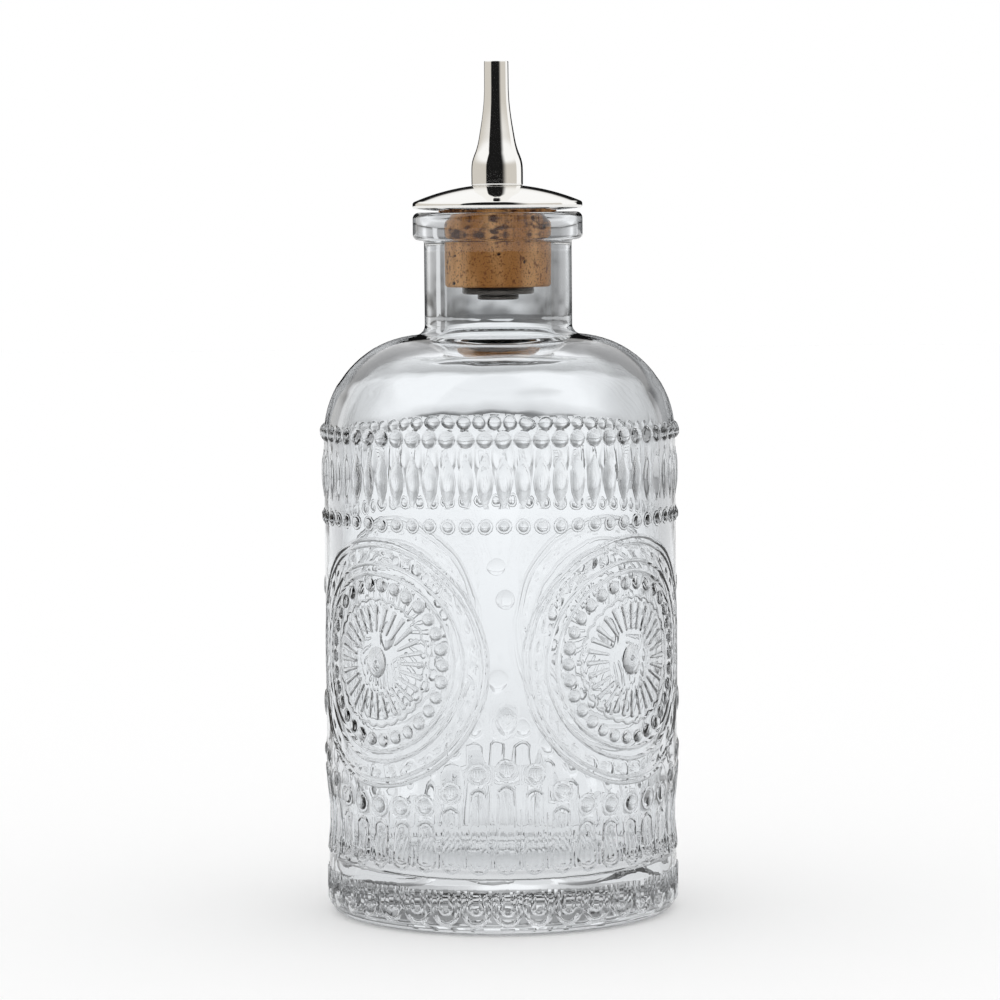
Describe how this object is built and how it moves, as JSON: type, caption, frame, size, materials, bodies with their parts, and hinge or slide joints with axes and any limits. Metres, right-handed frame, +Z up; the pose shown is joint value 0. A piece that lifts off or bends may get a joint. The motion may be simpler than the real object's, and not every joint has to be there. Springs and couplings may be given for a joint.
{
  "type": "bitters bottle",
  "caption": "Round clear glass bottle with pressed bead and medallion relief, closed by a cork under a domed metal cap with a slim dasher spout.",
  "frame": {"origin": "middle of the foot, on the surface that the bottle stands on", "axes": "+Z up along the bottle's axis towards the spout's tip; -Y towards the viewer of the picture, midway between two medallions; +X to the viewer's right"},
  "size_m": [0.0718, 0.0718, 0.169],
  "materials": {
    "clear_glass": "clear, glossy, fire polished",
    "cork": "natural cork, matt, pitted",
    "polished_metal": "mirror polished",
    "plain_steel": "satin",
    "plug_plastic": "matt natural plastic"
  },
  "bodies": {
    "bottle": {"glass_bottle": "clear_glass"},
    "stopper": {"cork_stopper": "cork", "dome_cap": "polished_metal", "dasher_spout": "polished_metal", "stem_tube": "plain_steel", "orifice_plug": "plug_plastic", "retaining_washer": "plain_steel", "stem_nut": "plain_steel"}
  },
  "joints": [
    {"name": "stopper_pull", "type": "slide", "parent": "bottle", "child": "stopper", "axis": [0, 0, 1], "range_m": [0, 0.035]}
  ]
}
